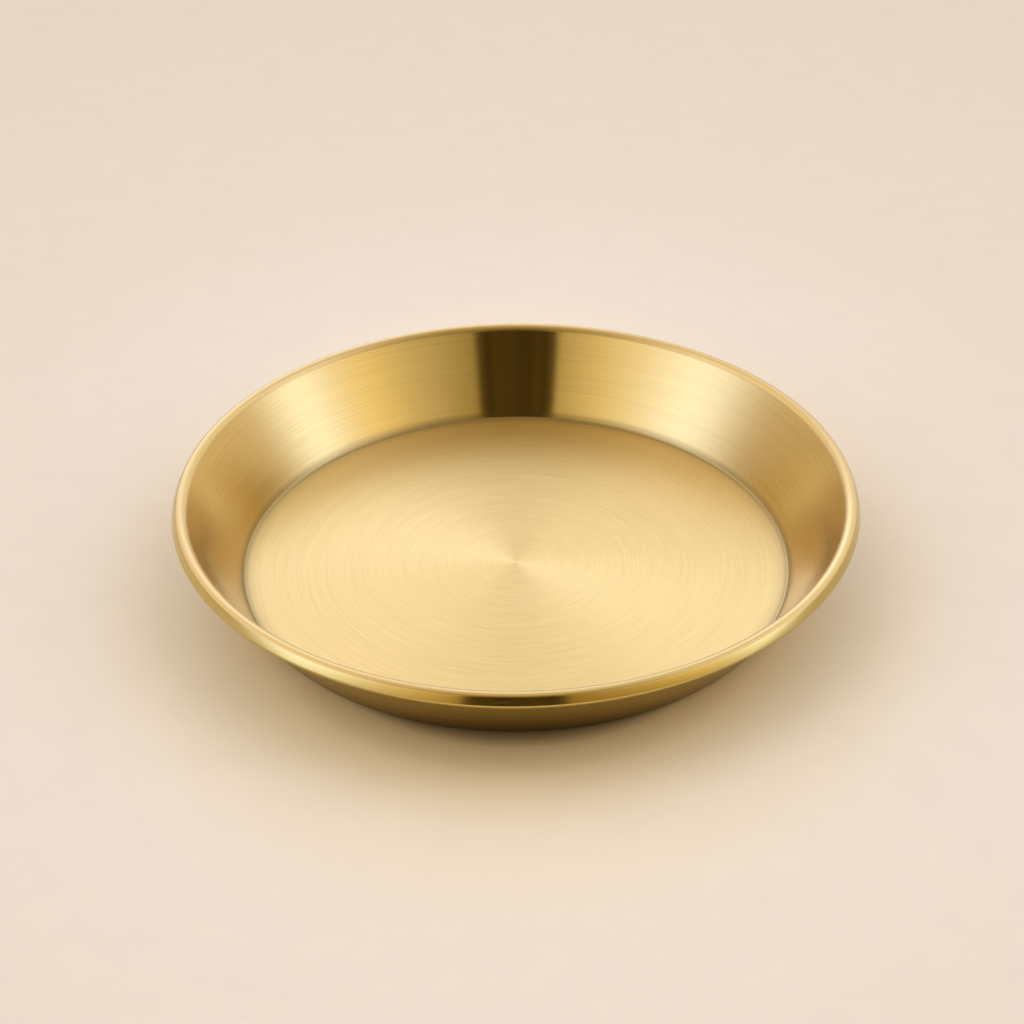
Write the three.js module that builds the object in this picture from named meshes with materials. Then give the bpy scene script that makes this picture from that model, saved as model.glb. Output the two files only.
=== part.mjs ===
// Round dinner plate spun from one metal sheet: a flat floor, a straight flared wall and a wired edge,
// where the sheet is curled outwards and under around a ring of wire and rolled flat on its outer face.
// Millimetres, +Z up. The origin is the middle of the underside, on the surface the plate stands on.

import * as THREE from 'three';

// Plate
const RIM_DIAMETER = 240;         // across the outside of the curled edge
const PLATE_HEIGHT = 31.5;        // underside to the top of the curled edge
const FLOOR_DIAMETER = 194;       // where the floor and the wall would meet in a sharp corner, on the food side
const FLOOR_CORNER_RADIUS = 1.2;  // round between the floor and the wall, on the food side
const SHEET_THICKNESS = 0.8;

// Wired edge
const WIRE_DIAMETER = 2.4;
const WIRE_CLEARANCE = 0.15;      // between the wire and the sheet curled around it
const WIRE_END_GAP = 1.2;         // between the two butted ends of the wire
const CROWN_EASE = 1;             // radius of the curl's crown beyond a close fit over the wire
const LIP_TILT_DEGREES = 26;      // of the curl's flat outer face, its top leaning inwards from upright
const BEND_RADIUS = 0.2;          // inside the sharp bends above and below that face
const CURL_GAP = 0.4;             // slit between the cut edge of the sheet and the wall

// Facets
const TURN_STEPS = 96;            // around the plate
const CORNER_STEPS = 5;
const BEND_STEPS_PER_QUARTER = 4;
const WIRE_SIDES = 12;

const QUARTER_TURN = Math.PI / 2;

// The curl goes round the wire at a close fit: its crown touches the fit circle from above, its lip from outside
// and its hem, the level stretch that ends in the cut edge, from below.
const wireRadius = WIRE_DIAMETER / 2;
const fitRadius = wireRadius + WIRE_CLEARANCE;
const crownRadius = fitRadius + SHEET_THICKNESS + CROWN_EASE;
const foldRadius = BEND_RADIUS + SHEET_THICKNESS;
const lipTilt = THREE.MathUtils.degToRad(LIP_TILT_DEGREES);
const lipNormal = new THREE.Vector2(Math.cos(lipTilt), Math.sin(lipTilt));

// The bend under the lip is as far inside the lip as above the hem. Its outside is the widest part of the rim.
const foldRise = BEND_RADIUS - fitRadius;
const foldReach = (fitRadius - BEND_RADIUS - foldRise * lipNormal.y) / lipNormal.x;
const wireCentre = new THREE.Vector2(
  RIM_DIAMETER / 2 - foldRadius - foldReach,
  PLATE_HEIGHT - SHEET_THICKNESS - fitRadius,
);
const foldCentre = wireCentre.clone().add(new THREE.Vector2(foldReach, foldRise));
const crownCentre = new THREE.Vector2(wireCentre.x, PLATE_HEIGHT - crownRadius);

// The bend above the lip touches the crown and the lip from inside.
const bendReach = crownRadius - foldRadius;
const crownToLip = fitRadius - crownCentre.clone().sub(wireCentre).dot(lipNormal);
const crownEnd = lipTilt + Math.acos((crownToLip - BEND_RADIUS) / bendReach);
const bendCentre = new THREE.Vector2(Math.cos(crownEnd), Math.sin(crownEnd)).multiplyScalar(bendReach).add(crownCentre);

// The wall's food side runs into the crown as a tangent.
const floorCorner = new THREE.Vector2(FLOOR_DIAMETER / 2, SHEET_THICKNESS);
const cornerToCrown = crownCentre.clone().sub(floorCorner);
const wallSlope = cornerToCrown.angle() + Math.asin(crownRadius / cornerToCrown.length());
const crownStart = wallSlope + QUARTER_TURN;

const cornerTangent = FLOOR_CORNER_RADIUS * Math.tan(wallSlope / 2);
const cornerCentre = new THREE.Vector2(floorCorner.x - cornerTangent, floorCorner.y + FLOOR_CORNER_RADIUS);
const cornerStart = -QUARTER_TURN;
const cornerEnd = cornerStart + wallSlope;

// The hem stops where its upper edge is CURL_GAP from the wall's back.
const hemTop = wireCentre.y - fitRadius;
const hemToWall = crownRadius - SHEET_THICKNESS - CURL_GAP - (hemTop - crownCentre.y) * Math.cos(wallSlope);
const hemEnd = crownCentre.x - hemToWall / Math.sin(wallSlope);

function arcPoints(centre, radius, from, to, steps) {
  const clockwise = to < from;
  return new THREE.EllipseCurve(centre.x, centre.y, radius, radius, from, to, clockwise).getPoints(steps);
}

// A bend through some stops, which are angles that get a vertex.
function bendPoints(centre, radius, stops) {
  return stops.slice(1).flatMap((stop, i) => {
    const steps = Math.ceil(BEND_STEPS_PER_QUARTER * Math.abs(stops[i] - stop) / QUARTER_TURN);
    const points = arcPoints(centre, radius, stops[i], stop, steps);
    return i === 0 ? points : points.slice(1);
  });
}

// One face of the curl, from the wall to the cut edge, at a depth in the sheet from its food side.
// Its top and outermost points are vertices, so the rim's height and width are exact.
function curlPoints(depth) {
  return [
    ...bendPoints(crownCentre, crownRadius - depth, [crownStart, QUARTER_TURN, crownEnd]),
    ...bendPoints(bendCentre, foldRadius - depth, [crownEnd, lipTilt]).slice(1),
    ...bendPoints(foldCentre, foldRadius - depth, [lipTilt, 0, -QUARTER_TURN]),
    new THREE.Vector2(hemEnd, foldCentre.y - foldRadius + depth),
  ];
}

// Half section of the sheet, up its back and down its food side, from axis to axis.
function sheetProfile() {
  const underside = new THREE.Vector2(0, 0);
  const floorTop = new THREE.Vector2(0, SHEET_THICKNESS);
  const cornerBackRadius = FLOOR_CORNER_RADIUS + SHEET_THICKNESS;
  return [
    underside,
    ...arcPoints(cornerCentre, cornerBackRadius, cornerStart, cornerEnd, CORNER_STEPS),
    ...curlPoints(SHEET_THICKNESS),
    ...curlPoints(0).reverse(),
    ...arcPoints(cornerCentre, FLOOR_CORNER_RADIUS, cornerEnd, cornerStart, CORNER_STEPS),
    floorTop,
  ];
}

function plateBodyGeometry() {
  return new THREE.LatheGeometry(sheetProfile(), TURN_STEPS).rotateX(Math.PI / 2);
}

// Middle line of the wire: a ring around the plate with its two ends apart by the end gap.
class WireRing extends THREE.Curve {
  constructor(radius, height, endGap) {
    super();
    this.radius = radius;
    this.height = height;
    this.startAngle = endGap / 2 / radius;
    this.sweep = 2 * Math.PI - endGap / radius;
  }

  getPoint(t, target = new THREE.Vector3()) {
    const angle = this.startAngle + t * this.sweep;
    return target.set(this.radius * Math.cos(angle), this.radius * Math.sin(angle), this.height);
  }
}

function rimWireGeometry() {
  const section = new THREE.Shape().absarc(0, 0, wireRadius, 0, 2 * Math.PI);
  const ring = new WireRing(wireCentre.x, wireCentre.y, WIRE_END_GAP);
  return new THREE.ExtrudeGeometry(section, {
    steps: TURN_STEPS,
    curveSegments: WIRE_SIDES / 2, // an arc gets two sides for each segment
    extrudePath: ring,
  });
}

const goldTonedSteel = new THREE.MeshStandardMaterial({ color: 0xd9b66f, roughness: 0.35, metalness: 1 });
const plainSteel = new THREE.MeshStandardMaterial({ color: 0xb4b3b0, roughness: 0.45, metalness: 1 });

function piece(name, geometry, material) {
  const mesh = new THREE.Mesh(geometry, material);
  mesh.name = name;
  return mesh;
}

const dinnerPlate = new THREE.Group();
dinnerPlate.add(
  piece('plate_body', plateBodyGeometry(), goldTonedSteel),
  piece('rim_wire', rimWireGeometry(), plainSteel),
);

export default dinnerPlate;
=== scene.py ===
"""Looks of a gold-toned steel dinner plate: a brushed floor and wall, and an edge curled over a wire."""

import math

import bpy
from mathutils import Matrix, Vector


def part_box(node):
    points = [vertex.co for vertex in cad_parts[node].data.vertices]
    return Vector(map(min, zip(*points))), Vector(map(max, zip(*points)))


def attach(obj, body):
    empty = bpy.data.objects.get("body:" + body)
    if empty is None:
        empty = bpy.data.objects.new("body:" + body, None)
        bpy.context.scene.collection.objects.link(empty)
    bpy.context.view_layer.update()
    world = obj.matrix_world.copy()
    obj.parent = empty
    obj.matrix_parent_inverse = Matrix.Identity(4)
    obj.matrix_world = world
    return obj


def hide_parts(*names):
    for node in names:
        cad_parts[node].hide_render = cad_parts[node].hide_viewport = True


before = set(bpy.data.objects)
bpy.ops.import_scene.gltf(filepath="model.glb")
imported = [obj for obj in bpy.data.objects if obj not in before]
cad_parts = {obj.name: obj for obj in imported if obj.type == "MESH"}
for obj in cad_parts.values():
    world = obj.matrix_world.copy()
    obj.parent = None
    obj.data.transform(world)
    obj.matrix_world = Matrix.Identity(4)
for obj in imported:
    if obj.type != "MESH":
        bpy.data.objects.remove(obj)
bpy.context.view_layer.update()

MM = 0.001
QUARTER_TURN = math.pi / 2
FULL_TURN = 2 * math.pi
PLATE_AXIS = (0, 0, 1)
LEVEL = (1, 1, 0)

# Sizes of the plate, in metres. The frame gives the rim's width and height and the wire.
plate_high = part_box("plate_body")[1]
wire_low, wire_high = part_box("rim_wire")
SHEET = 0.8 * MM
FLOOR_RADIUS = 97 * MM
CORNER_RADIUS = 1.2 * MM
CROWN_EASE = 1 * MM
LIP_TILT = math.radians(26)
BEND_RADIUS = 0.2 * MM
CURL_GAP = 0.4 * MM
WIRE_END_GAP = 1.2 * MM
CUT_EDGE_BEVEL = 0.12 * MM
CUT_EDGE_ANGLE = math.radians(50)

# Facets of the finished meshes
TURN_SEGMENTS = 320
FLOOR_RINGS = 8
CORNER_STEPS = 10
WALL_RINGS = 6
CROWN_STEPS = 14
BEND_STEPS = 7
LIP_FOOT_STEPS = 3
FOLD_STEPS = 12
HEM_STEPS = 2
CUT_EDGE_STEPS = 2
WIRE_SIDES = 20
WIRE_STEPS = 240
SMOOTH_ANGLE = math.radians(40)
MERGE_DISTANCE = 0.001 * MM

# The curl goes over the wire as a round crown, down as a flat lip and back under it as a level hem.
WIRE_RADIUS = (wire_high.z - wire_low.z) / 2
WIRE_HEIGHT = (wire_high.z + wire_low.z) / 2
FIT_RADIUS = plate_high.z - SHEET - WIRE_HEIGHT
CROWN_RADIUS = FIT_RADIUS + SHEET + CROWN_EASE
FOLD_RADIUS = BEND_RADIUS + SHEET
FOLD_RISE = BEND_RADIUS - FIT_RADIUS
FOLD_REACH = (FIT_RADIUS - BEND_RADIUS - FOLD_RISE * math.sin(LIP_TILT)) / math.cos(LIP_TILT)
RING_RADIUS = plate_high.x - FOLD_RADIUS - FOLD_REACH
FOLD_CENTRE = Vector((RING_RADIUS + FOLD_REACH, WIRE_HEIGHT + FOLD_RISE))
CROWN_CENTRE = Vector((RING_RADIUS, plate_high.z - CROWN_RADIUS))

# The bend above the lip touches the crown and the lip from inside.
BEND_REACH = CROWN_RADIUS - FOLD_RADIUS
CROWN_TO_LIP = FIT_RADIUS - (CROWN_CENTRE.y - WIRE_HEIGHT) * math.sin(LIP_TILT)
CROWN_END = LIP_TILT + math.acos((CROWN_TO_LIP - BEND_RADIUS) / BEND_REACH)
BEND_CENTRE = CROWN_CENTRE + BEND_REACH * Vector((math.cos(CROWN_END), math.sin(CROWN_END)))

# The wall's slope makes it run into the crown as a tangent.
corner_to_crown = CROWN_CENTRE - Vector((FLOOR_RADIUS, SHEET))
TANGENT_ANGLE = math.asin(CROWN_RADIUS / corner_to_crown.length)
WALL_SLOPE = math.atan2(corner_to_crown.y, corner_to_crown.x) + TANGENT_ANGLE
CORNER_START = FLOOR_RADIUS - CORNER_RADIUS * math.tan(WALL_SLOPE / 2)
CROWN_START = WALL_SLOPE + QUARTER_TURN
WALL_TOP = CROWN_CENTRE.y + CROWN_RADIUS * math.sin(CROWN_START)

# The hem stops short of the wall's back.
HEM_TOP = WIRE_HEIGHT - FIT_RADIUS
HEM_TO_WALL = CROWN_RADIUS - SHEET - CURL_GAP - (HEM_TOP - CROWN_CENTRE.y) * math.cos(WALL_SLOPE)
HEM_END = (RING_RADIUS - HEM_TO_WALL / math.sin(WALL_SLOPE), HEM_TOP - SHEET)

# How far up a face looks, as the Z of its normal, where one finish gives way to another
FOOD_SIDE_FACING = 0.1
FLOOR_FACING = 0.99
LIP_TOP_FACING = 0.64
LIP_FOOT_FACING = -0.05

# Finishes. Lengths in metres, slants in radians, roughness and tones as shares.
GOLD = (0.599, 0.459, 0.190)
# The outside and underside take a darker copy of the gold: painted shade
SHADED_BACK_GOLD = (0.50, 0.37, 0.095)
# The crown takes a darker copy of the gold, which tones down its highlight: painted shade
SHADED_CROWN_GOLD = (0.545, 0.415, 0.168)
LIP_GOLD = (0.599, 0.459, 0.155)
STEEL = (0.56, 0.55, 0.53)
FLOOR_FINISH = {"anisotropy": 1.0, "roughness": 0.24, "line_width": 0.29 * MM, "strokes_per_turn": 15,
                "line_depth": 0.0012 * MM, "line_tone": 0.07, "mark_tone": 0.1,
                "scratch_slant": (0.0, 0.0, 0.6), "scratch_tone": 0.03, "nick_size": 0.15 * MM}
WALL_FINISH = {"anisotropy": 1.0, "roughness": 0.16, "line_width": 0.38 * MM, "strokes_per_turn": 12,
               "line_depth": 0.0014 * MM, "line_tone": 0.08, "mark_tone": 0.08,
               "scratch_slant": (0.5, 0.9, 0.3), "scratch_tone": 0.012, "nick_size": 0.2 * MM}
CROWN_FINISH = {"anisotropy": 0.9, "roughness": 0.27, "line_width": 0.6 * MM, "strokes_per_turn": 9,
                "line_depth": 0.001 * MM, "line_tone": 0.06, "mark_tone": 0.15,
                "scratch_slant": (0.2, 0.4, 0.9), "scratch_tone": 0.15, "nick_size": 0.3 * MM}
LIP_FINISH = {"anisotropy": 0.6, "roughness": 0.15, "line_width": 0.5 * MM, "strokes_per_turn": 9,
              "line_depth": 0.001 * MM, "line_tone": 0.06, "mark_tone": 0.15,
              "scratch_slant": (0.2, 0.4, 0.9), "scratch_tone": 0.15, "nick_size": 0.3 * MM}
BACK_FINISH = {"anisotropy": 0.8, "roughness": 0.22, "line_width": 0.6 * MM, "strokes_per_turn": 10,
               "line_depth": 0.003 * MM, "line_tone": 0.08, "mark_tone": 0.2,
               "scratch_slant": (0.8, 0.1, 0.5), "scratch_tone": 0.2, "nick_size": 0.25 * MM}
WIRE_FINISH = {"anisotropy": 0.5, "roughness": 0.4, "line_width": 0.3 * MM, "strokes_per_turn": 3,
               "line_depth": 0.003 * MM, "line_tone": 0.1, "mark_tone": 0.3,
               "scratch_slant": (0.1, 0.2, 0.3), "scratch_tone": 0.3, "nick_size": 0.15 * MM}

# Rings of painted shade at the corner, the floor's edge, the wall's foot and the outer foot, which are also
# made rougher: radius, how far in and out they fade, and their share of the painted shade tone
CREASE_SHADE = (97.3 * MM, 2.6 * MM, 1.5 * MM, 0.48)
FLOOR_EDGE_SHADE = (97.2 * MM, 7 * MM, 1 * MM, 0.26)
WALL_FOOT_SHADE = (96.8 * MM, 0.7 * MM, 0.6 * MM, 0.25)
BACK_CORNER_SHADE = (97.8 * MM, 3 * MM, 7 * MM, 0.36)
PAINTED_SHADE_TONE = 0.3
DULL_ROUGHNESS = 0.1

# Brush strokes. Their shine spreads across them, a quarter of a turn from the way they run.
# Up the wall they are spaced by its radius and a share of its height.
SHINE_TURN = 0.25
BRUSH_CLIMB = 0.52
ROUGHNESS_CHANGE = 0.04
FLOOR_BRUSH_CENTRE = (0, -2.5 * MM, 0)

# Each kind of stroke: length and width as multiples of the finish's own, its place in the noise, the noise's
# detail and roughness, and the stretch of it that shows
STROKES = {
    "Lines": {"length": 1, "width": 1, "start": 0,
              "detail": 3, "roughness": 0.65, "shown": (0.26, 0.74)},
    "Marks": {"length": 1.4, "width": 0.7, "start": 300,
              "detail": 0, "roughness": 0.5, "shown": (0.66, 0.78)},
    "Bands": {"length": 2, "width": 8, "start": 600,
              "detail": 1, "roughness": 0.5, "shown": (0.25, 0.75)},
}

# Wear. Shades are shares of the metal's own colour, and depths are multiples of a brush line's.
SCRATCH_SCALE = (2, 2500, 2)
SCRATCHES_SHOWN = (0.71, 0.8)
SCRATCH_PATCHES = (60, 60, 60)
PATCHES_SHOWN = (0.5, 0.6)
SCRATCH_ROUGHNESS = 0.5
NICKS_PER_METRE = 70
NICK_RARITY = 0.8
NICK_RIM = (0.6, 1)
NICK_TONE = 0.5
MARK_SHADE = 0.5
SCRATCH_SHADE = 0.4
NICK_SHADE = 0.3
MARK_DEPTH = 0.03
NICK_DEPTH = 3.0

# Paper colours by distance from the plate's axis: painted shadow dark at its foot, painted golden light
# where the plate throws it, then pale paper with a painted pool of light that fades outward
PAPER_SHADE_AND_LIGHT = [
    (0.0975, (0.20, 0.15, 0.07)),
    (0.101, (0.35, 0.27, 0.14)),
    (0.106, (0.76, 0.62, 0.38)),
    (0.120, (0.94, 0.82, 0.55)),
    (0.145, (0.88, 0.82, 0.65)),
    (0.200, (0.785, 0.755, 0.66)),
    (0.300, (0.745, 0.705, 0.605)),
    (0.600, (0.71, 0.668, 0.565)),
]
PAPER_REACH = PAPER_SHADE_AND_LIGHT[-1][0]
# Distances across X count longer, so the painted shadow and light reach less far to the sides
PAPER_SQUASH = (1.22, 1, 1)
PAPER_SIZE = 60
PAPER_DROP = 0.05 * MM
PAPER_ROUGHNESS = 0.9
PAPER_SHINE = 0.1
MOTTLE_SCALE = (60, 60, 60)
MOTTLE_SHOWN = (0.3, 0.7)
MOTTLE_SHARE = 0.04
MOTTLE_COLOUR = (0.3, 0.3, 0.3, 1)

# Soft lights round the plate: azimuth from the camera's side and elevation in degrees, sharpness and colour
SOFT_LIGHTS = {
    "right": (82, 12, 26, (1.22, 1.66, 2.62)),
    "left": (-70, 14, 14, (1.52, 1.91, 3.10)),
    "front_right": (58, 20, 30, (0.97, 0.86, 0.49)),
    "front_left": (-40, 28, 14, (0.87, 0.84, 0.68)),
    "high_right": (98, 48, 13, (1.14, 1.20, 1.86)),
    "high_left": (-91, 55, 24, (0.97, 1.00, 1.33)),
    "back": (186, 22, 33, (1.70, 1.95, 3.05)),
    "high_back_right": (154, 40, 10, (0.53, 0.67, 0.83)),
    "front_right_fill": (37, 27, 23, (0.46, 0.48, 0.46)),
    "back_right_fill": (130, 8, 2, (0.63, 0.61, 0.62)),
    "high_back_left": (-127, 39, 6, (1.14, 1.14, 1.30)),
    "high_front": (8, 55, 9, (0.04, 0.15, 0.17)),
    "high_back": (180, 65, 20, (0.25, 0.18, 0.00)),
    "back_right": (152, 14, 30, (0.24, 0.28, 0.60)),
    "back_left": (-152, 14, 30, (0.22, 0.25, 0.60)),
}
FILL_LIGHT = (0.420, 0.238, 0.009)

# Dark gap between the lights at the camera's side, with soft upright folds in it
GAP_COLOUR = (0.072, 0.044, 0.009)
GAP_AZIMUTH = -0.8
GAP_HALF_WIDTH = math.radians(15.6)
GAP_SIDE_SOFTNESS = math.radians(1)
GAP_TOP = math.radians(60)
GAP_TOP_SOFTNESS = math.radians(5)
FOLD_SCALE = (14, 14, 14)
FOLDS_SHOWN = (0.35, 0.65)
FOLD_TONES = (0.55, 1.5)

# Camera at the photograph's viewing angle, with its focal length in pixels of the image
IMAGE_SIZE = 1024
SENSOR_WIDTH = 36
CAMERA_FOCAL = 2232.5
CAMERA_ELEVATION = math.radians(34.79)
CAMERA_DISTANCE = 0.8
CAMERA_TARGET = Vector((-1.33 * MM, 0, 20.5 * MM))
CAMERA_ROLL = math.radians(-0.58)


# Modelling helpers

def deselect_all():
    bpy.ops.object.select_all(action="DESELECT")


def point_on_arc(centre, radius, angle):
    return (centre[0] + radius * math.cos(angle), centre[1] + radius * math.sin(angle))


def arc(centre, radius, start, end, steps):
    """Radius and height of each ring along a round stretch of the sheet, without its first point."""
    angles = [start + (end - start) * i / steps for i in range(1, steps + 1)]
    return [point_on_arc(centre, radius, angle) for angle in angles]


def straight(start, end, steps):
    """Radius and height of each ring along a straight stretch of the sheet, without its first point."""
    shares = [i / steps for i in range(1, steps + 1)]
    return [(start[0] + (end[0] - start[0]) * s, start[1] + (end[1] - start[1]) * s) for s in shares]


def sheet_rings():
    """The food side of the sheet, from the first ring round the middle of the floor to the cut edge."""
    first = (CORNER_START / FLOOR_RINGS, SHEET)
    rings = [first] + straight(first, (CORNER_START, SHEET), FLOOR_RINGS - 1)
    corner_centre = (CORNER_START, SHEET + CORNER_RADIUS)
    rings += arc(corner_centre, CORNER_RADIUS, -QUARTER_TURN, WALL_SLOPE - QUARTER_TURN, CORNER_STEPS)
    rings += straight(rings[-1], point_on_arc(CROWN_CENTRE, CROWN_RADIUS, CROWN_START), WALL_RINGS)
    rings += arc(CROWN_CENTRE, CROWN_RADIUS, CROWN_START, QUARTER_TURN, CROWN_STEPS)
    rings += arc(CROWN_CENTRE, CROWN_RADIUS, QUARTER_TURN, CROWN_END, BEND_STEPS)
    rings += arc(BEND_CENTRE, FOLD_RADIUS, CROWN_END, LIP_TILT, BEND_STEPS)
    rings.append(point_on_arc(FOLD_CENTRE, FOLD_RADIUS, LIP_TILT))
    rings += arc(FOLD_CENTRE, FOLD_RADIUS, LIP_TILT, 0, LIP_FOOT_STEPS)
    rings += arc(FOLD_CENTRE, FOLD_RADIUS, 0, -QUARTER_TURN, FOLD_STEPS)
    rings += straight(rings[-1], HEM_END, HEM_STEPS)
    return rings


def draw_edge_to(ring, last_ring):
    """Pulls the selected open edge of the sheet out to its next ring."""
    grow = ring[0] / last_ring[0]
    bpy.ops.mesh.extrude_region_move(TRANSFORM_OT_translate={"value": (0, 0, ring[1] - last_ring[1])})
    bpy.ops.transform.resize(value=(grow, grow, 1), center_override=(0, 0, 0))


def apply_modifiers(piece):
    for name in [m.name for m in piece.modifiers]:
        bpy.ops.object.modifier_apply(modifier=name)


def paint_faces(piece, material, belongs):
    """Gives the material to the faces that belong to it, by their middle (radius, height) and normal."""
    piece.data.materials.append(material)
    piece.active_material_index = len(piece.data.materials) - 1
    bpy.ops.object.mode_set(mode="EDIT")
    bpy.ops.mesh.select_mode(type="FACE")
    bpy.ops.mesh.select_all(action="DESELECT")
    bpy.ops.object.mode_set(mode="OBJECT")
    for face in piece.data.polygons:
        face.select = belongs(math.hypot(face.center.x, face.center.y), face.center.z, face.normal)
    bpy.ops.object.mode_set(mode="EDIT")
    bpy.ops.object.material_slot_assign()
    bpy.ops.object.mode_set(mode="OBJECT")


# Where each finish lies, by the middle of a face and its normal

def anywhere(radius, height, normal):
    return True


def on_food_side(radius, height, normal):
    return normal.z > FOOD_SIDE_FACING and height < WALL_TOP


def on_floor(radius, height, normal):
    return normal.z > FLOOR_FACING and radius < FLOOR_RADIUS


def on_edge(radius, height, normal):
    return normal.z > LIP_FOOT_FACING and (height > WALL_TOP or radius > RING_RADIUS)


def on_lip(radius, height, normal):
    return radius > RING_RADIUS and LIP_FOOT_FACING < normal.z < LIP_TOP_FACING


# Pieces

def plate_shell():
    """One sheet, drawn ring by ring from the middle of the floor to the cut edge, then thickened."""
    rings = sheet_rings()
    deselect_all()
    bpy.ops.mesh.primitive_circle_add(vertices=TURN_SEGMENTS, radius=rings[0][0], fill_type="TRIFAN",
                                      location=(0, 0, rings[0][1]))
    shell = bpy.context.object
    shell.name = "plate_shell"
    bpy.ops.object.transform_apply(location=True, rotation=True, scale=True)
    bpy.ops.object.mode_set(mode="EDIT")
    bpy.ops.mesh.select_mode(type="EDGE")
    bpy.ops.mesh.select_all(action="DESELECT")
    bpy.ops.mesh.select_non_manifold(extend=False, use_wire=False, use_boundary=True,
                                     use_multi_face=False, use_non_contiguous=False, use_verts=False)
    for last_ring, ring in zip(rings, rings[1:]):
        draw_edge_to(ring, last_ring)
    bpy.ops.mesh.select_all(action="SELECT")
    bpy.ops.mesh.normals_make_consistent(inside=False)
    bpy.ops.object.mode_set(mode="OBJECT")
    thickness = shell.modifiers.new("sheet", "SOLIDIFY")
    thickness.thickness = SHEET
    thickness.offset = -1
    thickness.use_even_offset = True
    cut_edge = shell.modifiers.new("cut_edge", "BEVEL")
    cut_edge.width = CUT_EDGE_BEVEL
    cut_edge.segments = CUT_EDGE_STEPS
    cut_edge.limit_method = "ANGLE"
    cut_edge.angle_limit = CUT_EDGE_ANGLE
    apply_modifiers(shell)
    bpy.ops.object.shade_smooth_by_angle(angle=SMOOTH_ANGLE)
    return shell


def wire_ring():
    """The stiffening wire: a round section spun about the plate's axis, short of a full turn by its gap."""
    deselect_all()
    bpy.ops.mesh.primitive_circle_add(vertices=WIRE_SIDES, radius=WIRE_RADIUS, fill_type="NGON",
                                      location=(RING_RADIUS, 0, WIRE_HEIGHT), rotation=(QUARTER_TURN, 0, 0))
    wire = bpy.context.object
    wire.name = "wire_ring"
    bpy.ops.object.transform_apply(location=True, rotation=True, scale=True)
    gap_angle = WIRE_END_GAP / RING_RADIUS
    bpy.ops.object.mode_set(mode="EDIT")
    bpy.ops.mesh.select_all(action="SELECT")
    bpy.ops.transform.rotate(value=gap_angle / 2, orient_axis="Z", center_override=(0, 0, 0))
    bpy.ops.mesh.duplicate()
    bpy.ops.mesh.spin(steps=WIRE_STEPS, angle=FULL_TURN - gap_angle, center=(0, 0, 0), axis=PLATE_AXIS)
    bpy.ops.mesh.select_all(action="SELECT")
    bpy.ops.mesh.remove_doubles(threshold=MERGE_DISTANCE)
    bpy.ops.mesh.normals_make_consistent(inside=False)
    bpy.ops.object.mode_set(mode="OBJECT")
    bpy.ops.object.shade_smooth_by_angle(angle=SMOOTH_ANGLE)
    return wire


# Shader nodes

def add_node(tree, kind, inputs, **settings):
    """A shader node with its settings, whose inputs take plain values or other nodes' outputs."""
    node = tree.nodes.new("ShaderNode" + kind)
    for name, value in settings.items():
        setattr(node, name, value)
    for name, value in inputs.items():
        if isinstance(value, bpy.types.NodeSocket):
            tree.links.new(value, node.inputs[name])
        else:
            node.inputs[name].default_value = value
    return node


def add_math(tree, operation, first, second=0.0):
    return add_node(tree, "Math", {0: first, 1: second}, operation=operation).outputs[0]


def add_vector_math(tree, operation, first, second=(0, 0, 0)):
    node = add_node(tree, "VectorMath", {0: first, 1: second}, operation=operation)
    return node.outputs["Value"] if operation in ("LENGTH", "DOT_PRODUCT") else node.outputs["Vector"]


def add_scaling(tree, vector, scale):
    inputs = {"Vector": vector, "Scale": scale}
    return add_node(tree, "VectorMath", inputs, operation="SCALE").outputs["Vector"]


def add_noise(tree, vector, detail=0, roughness=0.5):
    inputs = {"Vector": vector, "Scale": 1, "Detail": detail, "Roughness": roughness}
    return add_node(tree, "TexNoise", inputs).outputs["Fac"]


def add_range(tree, value, low, high, to_low=0.0, to_high=1.0, smooth=False):
    """The value's stretch from low to high, taken to another stretch and held within it."""
    inputs = {"Value": value, "From Min": low, "From Max": high, "To Min": to_low, "To Max": to_high}
    kind = "SMOOTHSTEP" if smooth else "LINEAR"
    return add_node(tree, "MapRange", inputs, interpolation_type=kind).outputs["Result"]


def add_blend(tree, share, first, second):
    inputs = {"Factor": share, "A": first, "B": second}
    return add_node(tree, "Mix", inputs, data_type="RGBA").outputs["Result"]


def new_group(name, inputs, outputs):
    """A shader node group with vector or number inputs and number outputs, and its end nodes' sockets."""
    group = bpy.data.node_groups.new(name, "ShaderNodeTree")
    for socket, kind in inputs.items():
        group.interface.new_socket(socket, in_out="INPUT", socket_type="NodeSocket" + kind)
    for socket in outputs:
        group.interface.new_socket(socket, in_out="OUTPUT", socket_type="NodeSocketFloat")
    return group, group.nodes.new("NodeGroupInput").outputs, group.nodes.new("NodeGroupOutput").inputs


def spun_brush_group():
    """Brush strokes that run in circles about the Z axis, as a plate gets them while it turns on a lathe.

    Lines are the single strokes, Marks the few deep ones and Bands their slow change across the plate.
    """
    sockets = {"Position": "Vector", "Line Width": "Float", "Strokes Per Turn": "Float"}
    group, given, result = new_group("spun_brush", sockets, STROKES)
    level = add_vector_math(group, "MULTIPLY", given["Position"], LEVEL)
    outwards = add_vector_math(group, "NORMALIZE", level)
    radius = add_vector_math(group, "LENGTH", level)
    climb = add_vector_math(group, "DOT_PRODUCT", given["Position"], (0, 0, BRUSH_CLIMB))
    across = add_math(group, "DIVIDE", add_math(group, "ADD", radius, climb), given["Line Width"])
    turning = add_math(group, "DIVIDE", given["Strokes Per Turn"], FULL_TURN)
    for name, stroke in STROKES.items():
        turn = add_scaling(group, outwards, add_math(group, "DIVIDE", turning, stroke["length"]))
        step = add_math(group, "ADD", add_math(group, "DIVIDE", across, stroke["width"]), stroke["start"])
        lift = add_node(group, "CombineXYZ", {"Z": step}).outputs["Vector"]
        place = add_vector_math(group, "ADD", turn, lift)
        noise = add_noise(group, place, stroke["detail"], stroke["roughness"])
        group.links.new(add_range(group, noise, *stroke["shown"]), result[name])
    return group


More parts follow.
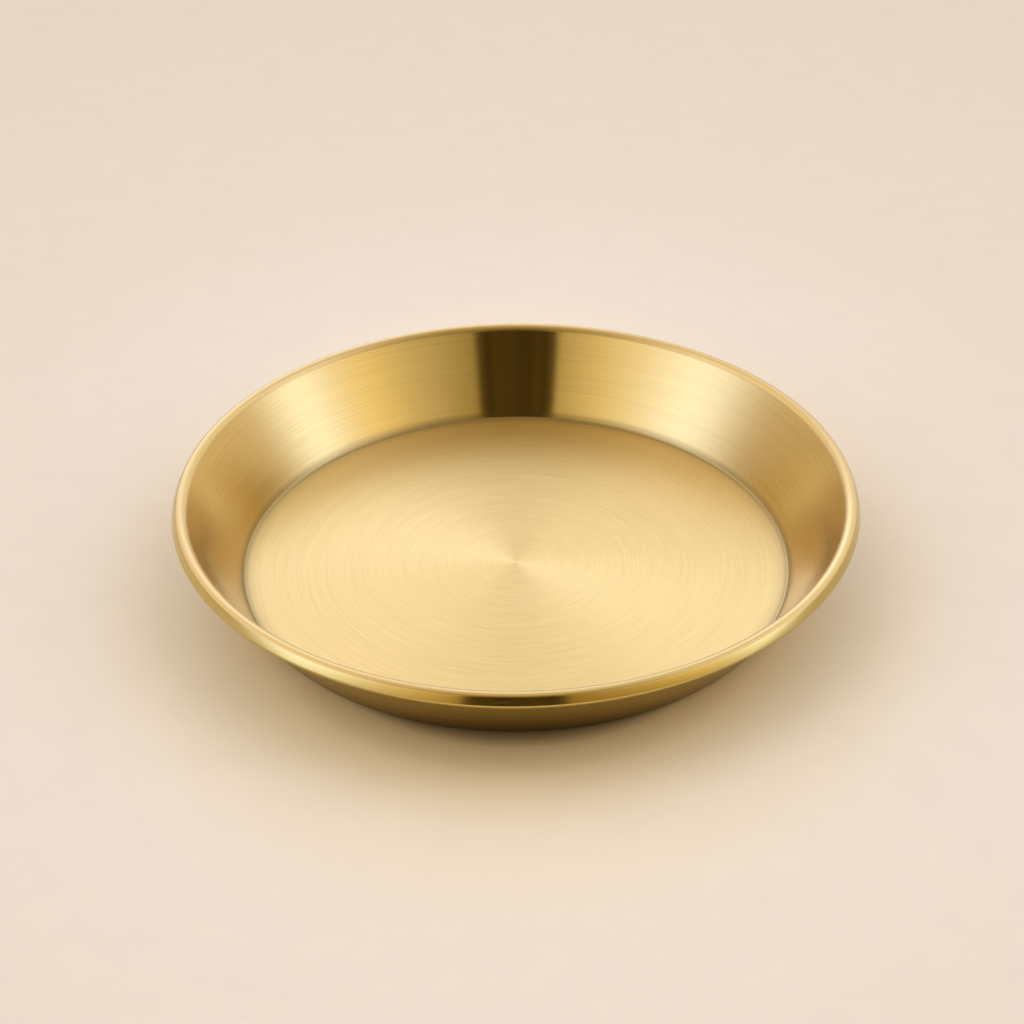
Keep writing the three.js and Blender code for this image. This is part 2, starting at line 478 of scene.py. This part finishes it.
def handling_wear_group():
    """Hairline scratches at a slant and small nicks, few and far between, as use leaves them."""
    sockets = {"Position": "Vector", "Slant": "Vector", "Nick Size": "Float"}
    group, given, result = new_group("handling_wear", sockets, ("Scratches", "Nicks"))
    slanted = add_node(group, "Mapping", {"Vector": given["Position"], "Rotation": given["Slant"],
                                          "Scale": SCRATCH_SCALE})
    hairlines = add_range(group, add_noise(group, slanted.outputs["Vector"]), *SCRATCHES_SHOWN)
    spread = add_vector_math(group, "MULTIPLY", given["Position"], SCRATCH_PATCHES)
    patches = add_range(group, add_noise(group, spread, detail=1), *PATCHES_SHOWN)
    group.links.new(add_math(group, "MULTIPLY", hairlines, patches), result["Scratches"])

    cells = add_node(group, "TexVoronoi", {"Vector": given["Position"], "Scale": NICKS_PER_METRE})
    apart = add_math(group, "DIVIDE", cells.outputs["Distance"], NICKS_PER_METRE)
    spots = add_range(group, add_math(group, "DIVIDE", apart, given["Nick Size"]), *NICK_RIM, 1, 0)
    chance = add_node(group, "SeparateColor", {"Color": cells.outputs["Color"]}).outputs["Red"]
    few = add_math(group, "GREATER_THAN", chance, NICK_RARITY)
    group.links.new(add_math(group, "MULTIPLY", spots, few), result["Nicks"])
    return group


# Materials

def new_material(name):
    material = bpy.data.materials.new(name)
    material.use_nodes = True
    return material, material.node_tree, material.node_tree.nodes["Principled BSDF"]


def shaded(colour, share):
    return (*(c * share for c in colour), 1)


def near_ring(tree, place, radius, inwards, outwards):
    """How close a place is to a ring about the plate's axis, from 0 to 1."""
    level = add_vector_math(tree, "MULTIPLY", place, LEVEL)
    apart = add_math(tree, "SUBTRACT", add_vector_math(tree, "LENGTH", level), radius)
    rise = add_range(tree, apart, -inwards, 0, smooth=True)
    fall = add_range(tree, apart, 0, outwards, 1, 0, smooth=True)
    return add_math(tree, "MULTIPLY", rise, fall)


def brushed_metal(name, colour, finish, centre=(0, 0, 0), shade_and_dull_rings=()):
    """Metal with brush strokes about a centre, a little wear, and rings of painted shade that are also made
    rougher.
    """
    material, tree, shader = new_material(name)
    shader.inputs["Metallic"].default_value = 1
    shader.inputs["Anisotropic"].default_value = finish["anisotropy"]
    shader.inputs["Anisotropic Rotation"].default_value = SHINE_TURN
    place = add_node(tree, "TexCoord", {}).outputs["Object"]
    centring = add_node(tree, "Mapping", {"Vector": place, "Location": centre}, vector_type="TEXTURE")
    centred = centring.outputs["Vector"]
    tree.links.new(add_vector_math(tree, "CROSS_PRODUCT", PLATE_AXIS, centred), shader.inputs["Tangent"])
    brush_values = {"Position": centred, "Line Width": finish["line_width"],
                    "Strokes Per Turn": finish["strokes_per_turn"]}
    strokes = add_node(tree, "Group", brush_values, node_tree=spun_brush).outputs
    wear_values = {"Position": place, "Slant": finish["scratch_slant"], "Nick Size": finish["nick_size"]}
    wear = add_node(tree, "Group", wear_values, node_tree=handling_wear).outputs

    tone = finish["line_tone"]
    lined = add_blend(tree, strokes["Lines"], shaded(colour, 1 - tone), shaded(colour, 1 + tone))
    marks = add_math(tree, "MULTIPLY", strokes["Marks"], finish["mark_tone"])
    marked = add_blend(tree, marks, lined, shaded(colour, MARK_SHADE))
    scratches = add_math(tree, "MULTIPLY", wear["Scratches"], finish["scratch_tone"])
    scratched = add_blend(tree, scratches, marked, shaded(colour, SCRATCH_SHADE))
    nicks = add_math(tree, "MULTIPLY", wear["Nicks"], NICK_TONE)
    nicked = add_blend(tree, nicks, scratched, shaded(colour, NICK_SHADE))
    # Painted shade in the rings: the colour darkens there, and the same share also makes them rougher
    shade_and_dullness = 0.0
    for *ring, share in shade_and_dull_rings:
        ring_shade_and_dullness = add_math(tree, "MULTIPLY", near_ring(tree, place, *ring), share)
        shade_and_dullness = add_math(tree, "ADD", shade_and_dullness, ring_shade_and_dullness)
    tree.links.new(add_blend(tree, shade_and_dullness, nicked, shaded(colour, PAINTED_SHADE_TONE)), shader.inputs["Base Color"])

    least, most = (finish["roughness"] * (1 + way * ROUGHNESS_CHANGE) for way in (-1, 1))
    satin = add_range(tree, strokes["Bands"], 0, 1, least, most)
    duller = add_math(tree, "ADD", satin, add_math(tree, "MULTIPLY", shade_and_dullness, DULL_ROUGHNESS))
    rougher = add_math(tree, "ADD", duller, add_math(tree, "MULTIPLY", scratches, SCRATCH_ROUGHNESS))
    tree.links.new(rougher, shader.inputs["Roughness"])

    deep_marks = add_math(tree, "MULTIPLY", strokes["Marks"], MARK_DEPTH)
    deep_nicks = add_math(tree, "MULTIPLY", wear["Nicks"], NICK_DEPTH)
    hollows = add_math(tree, "ADD", deep_marks, deep_nicks)
    height = add_math(tree, "SUBTRACT", strokes["Lines"], hollows)
    bump = add_node(tree, "Bump", {"Distance": finish["line_depth"], "Height": height})
    tree.links.new(bump.outputs["Normal"], shader.inputs["Normal"])
    return material


def paper_material():
    """Matt paper, faintly mottled, with painted shadow at the plate's foot, the plate's golden light painted
    round it and a painted pool of light that fades outward.
    """
    material, tree, shader = new_material("studio_floor")
    shader.inputs["Roughness"].default_value = PAPER_ROUGHNESS
    shader.inputs["Specular IOR Level"].default_value = PAPER_SHINE
    place = add_node(tree, "TexCoord", {}).outputs["Object"]
    squashed = add_vector_math(tree, "MULTIPLY", place, PAPER_SQUASH)
    apart = add_math(tree, "DIVIDE", add_vector_math(tree, "LENGTH", squashed), PAPER_REACH)
    ramp = add_node(tree, "ValToRGB", {"Fac": apart})
    stops = ramp.color_ramp.elements
    for i, (distance, colour) in enumerate(PAPER_SHADE_AND_LIGHT):
        stop = stops[i] if i < len(stops) else stops.new(1)
        stop.position = distance / PAPER_REACH
        stop.color = (*colour, 1)
    grain = add_vector_math(tree, "MULTIPLY", place, MOTTLE_SCALE)
    cloudy = add_noise(tree, grain, detail=3, roughness=0.6)
    mottle = add_range(tree, cloudy, *MOTTLE_SHOWN, 0, MOTTLE_SHARE)
    mottled = add_blend(tree, mottle, ramp.outputs["Color"], MOTTLE_COLOUR)
    tree.links.new(mottled, shader.inputs["Base Color"])
    return material


# Stage

def studio_floor():
    deselect_all()
    bpy.ops.mesh.primitive_plane_add(size=PAPER_SIZE, location=(0, 0, -PAPER_DROP))
    floor = bpy.context.object
    floor.name = "studio_floor"
    floor.data.materials.append(paper_material())


def camera():
    data = bpy.data.cameras.new("camera")
    data.sensor_width = SENSOR_WIDTH
    data.lens = SENSOR_WIDTH * CAMERA_FOCAL / IMAGE_SIZE
    place = Vector((0, -math.cos(CAMERA_ELEVATION), math.sin(CAMERA_ELEVATION))) * CAMERA_DISTANCE
    forward = (CAMERA_TARGET - place).normalized()
    level = forward.cross(Vector(PLATE_AXIS)).normalized()
    upright = level.cross(forward)
    right = level * math.cos(CAMERA_ROLL) + upright * math.sin(CAMERA_ROLL)
    up = upright * math.cos(CAMERA_ROLL) - level * math.sin(CAMERA_ROLL)
    turn = Matrix((right, up, -forward)).transposed().to_4x4()
    eye = bpy.data.objects.new("camera", data)
    eye.matrix_world = Matrix.Translation(place) @ turn
    bpy.context.scene.collection.objects.link(eye)
    bpy.context.scene.camera = eye


def aim(azimuth, elevation):
    """Direction seen from the plate. Azimuth 0 is the camera's side and grows towards +X."""
    turn = math.radians(azimuth)
    rise = math.radians(elevation)
    return (math.cos(rise) * math.sin(turn), -math.cos(rise) * math.cos(turn), math.sin(rise))


def soft_light(tree, direction):
    """Light from each direction: the soft lights, added to a warm fill."""
    lit = FILL_LIGHT
    for azimuth, elevation, sharpness, colour in SOFT_LIGHTS.values():
        facing = add_vector_math(tree, "DOT_PRODUCT", direction, aim(azimuth, elevation))
        falloff = add_math(tree, "POWER", add_math(tree, "MAXIMUM", facing, 0.0), sharpness)
        lit = add_vector_math(tree, "ADD", add_scaling(tree, colour, falloff), lit)
    return lit


def dark_gap(tree, direction):
    """The dark gap's share in each direction and its folded colour."""
    level = add_vector_math(tree, "NORMALIZE", add_vector_math(tree, "MULTIPLY", direction, LEVEL))
    camera_side = add_vector_math(tree, "DOT_PRODUCT", level, aim(GAP_AZIMUTH, 0))
    across = add_range(tree, camera_side, math.cos(GAP_HALF_WIDTH + GAP_SIDE_SOFTNESS),
                       math.cos(GAP_HALF_WIDTH - GAP_SIDE_SOFTNESS))
    height = add_vector_math(tree, "DOT_PRODUCT", direction, PLATE_AXIS)
    below = add_range(tree, height, math.sin(GAP_TOP + GAP_TOP_SOFTNESS),
                      math.sin(GAP_TOP - GAP_TOP_SOFTNESS))
    folds = add_noise(tree, add_vector_math(tree, "MULTIPLY", level, FOLD_SCALE), detail=1)
    hollow, ridge = (shaded(GAP_COLOUR, tone) for tone in FOLD_TONES)
    colour = add_blend(tree, add_range(tree, folds, *FOLDS_SHOWN), hollow, ridge)
    return add_math(tree, "MULTIPLY", across, below), colour


def studio_world():
    """Soft light all round the plate, with a dark gap at the camera's side."""
    world = bpy.data.worlds.new("studio")
    world.use_nodes = True
    tree = world.node_tree
    direction = add_node(tree, "TexCoord", {}).outputs["Generated"]
    gap_share, gap_colour = dark_gap(tree, direction)
    light = add_blend(tree, gap_share, soft_light(tree, direction), gap_colour)
    tree.links.new(light, tree.nodes["Background"].inputs["Color"])
    bpy.context.scene.world = world


spun_brush = spun_brush_group()
handling_wear = handling_wear_group()

satin_back = brushed_metal("satin_back", SHADED_BACK_GOLD, BACK_FINISH, shade_and_dull_rings=[BACK_CORNER_SHADE])
brushed_wall = brushed_metal("brushed_wall", GOLD, WALL_FINISH, shade_and_dull_rings=[CREASE_SHADE, WALL_FOOT_SHADE])
brushed_floor = brushed_metal("brushed_floor", GOLD, FLOOR_FINISH, FLOOR_BRUSH_CENTRE, [CREASE_SHADE, FLOOR_EDGE_SHADE])
satin_crown = brushed_metal("satin_crown", SHADED_CROWN_GOLD, CROWN_FINISH)
smooth_lip = brushed_metal("smooth_lip", LIP_GOLD, LIP_FINISH)
drawn_wire = brushed_metal("drawn_wire", STEEL, WIRE_FINISH)

shell = plate_shell()
paint_faces(shell, satin_back, anywhere)
paint_faces(shell, brushed_wall, on_food_side)
paint_faces(shell, brushed_floor, on_floor)
paint_faces(shell, satin_crown, on_edge)
paint_faces(shell, smooth_lip, on_lip)
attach(shell, "root")
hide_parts("plate_body")

wire = wire_ring()
wire.data.materials.append(drawn_wire)
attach(wire, "root")
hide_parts("rim_wire")

camera()
studio_floor()
studio_world()
bpy.context.scene.view_settings.view_transform = "Standard"
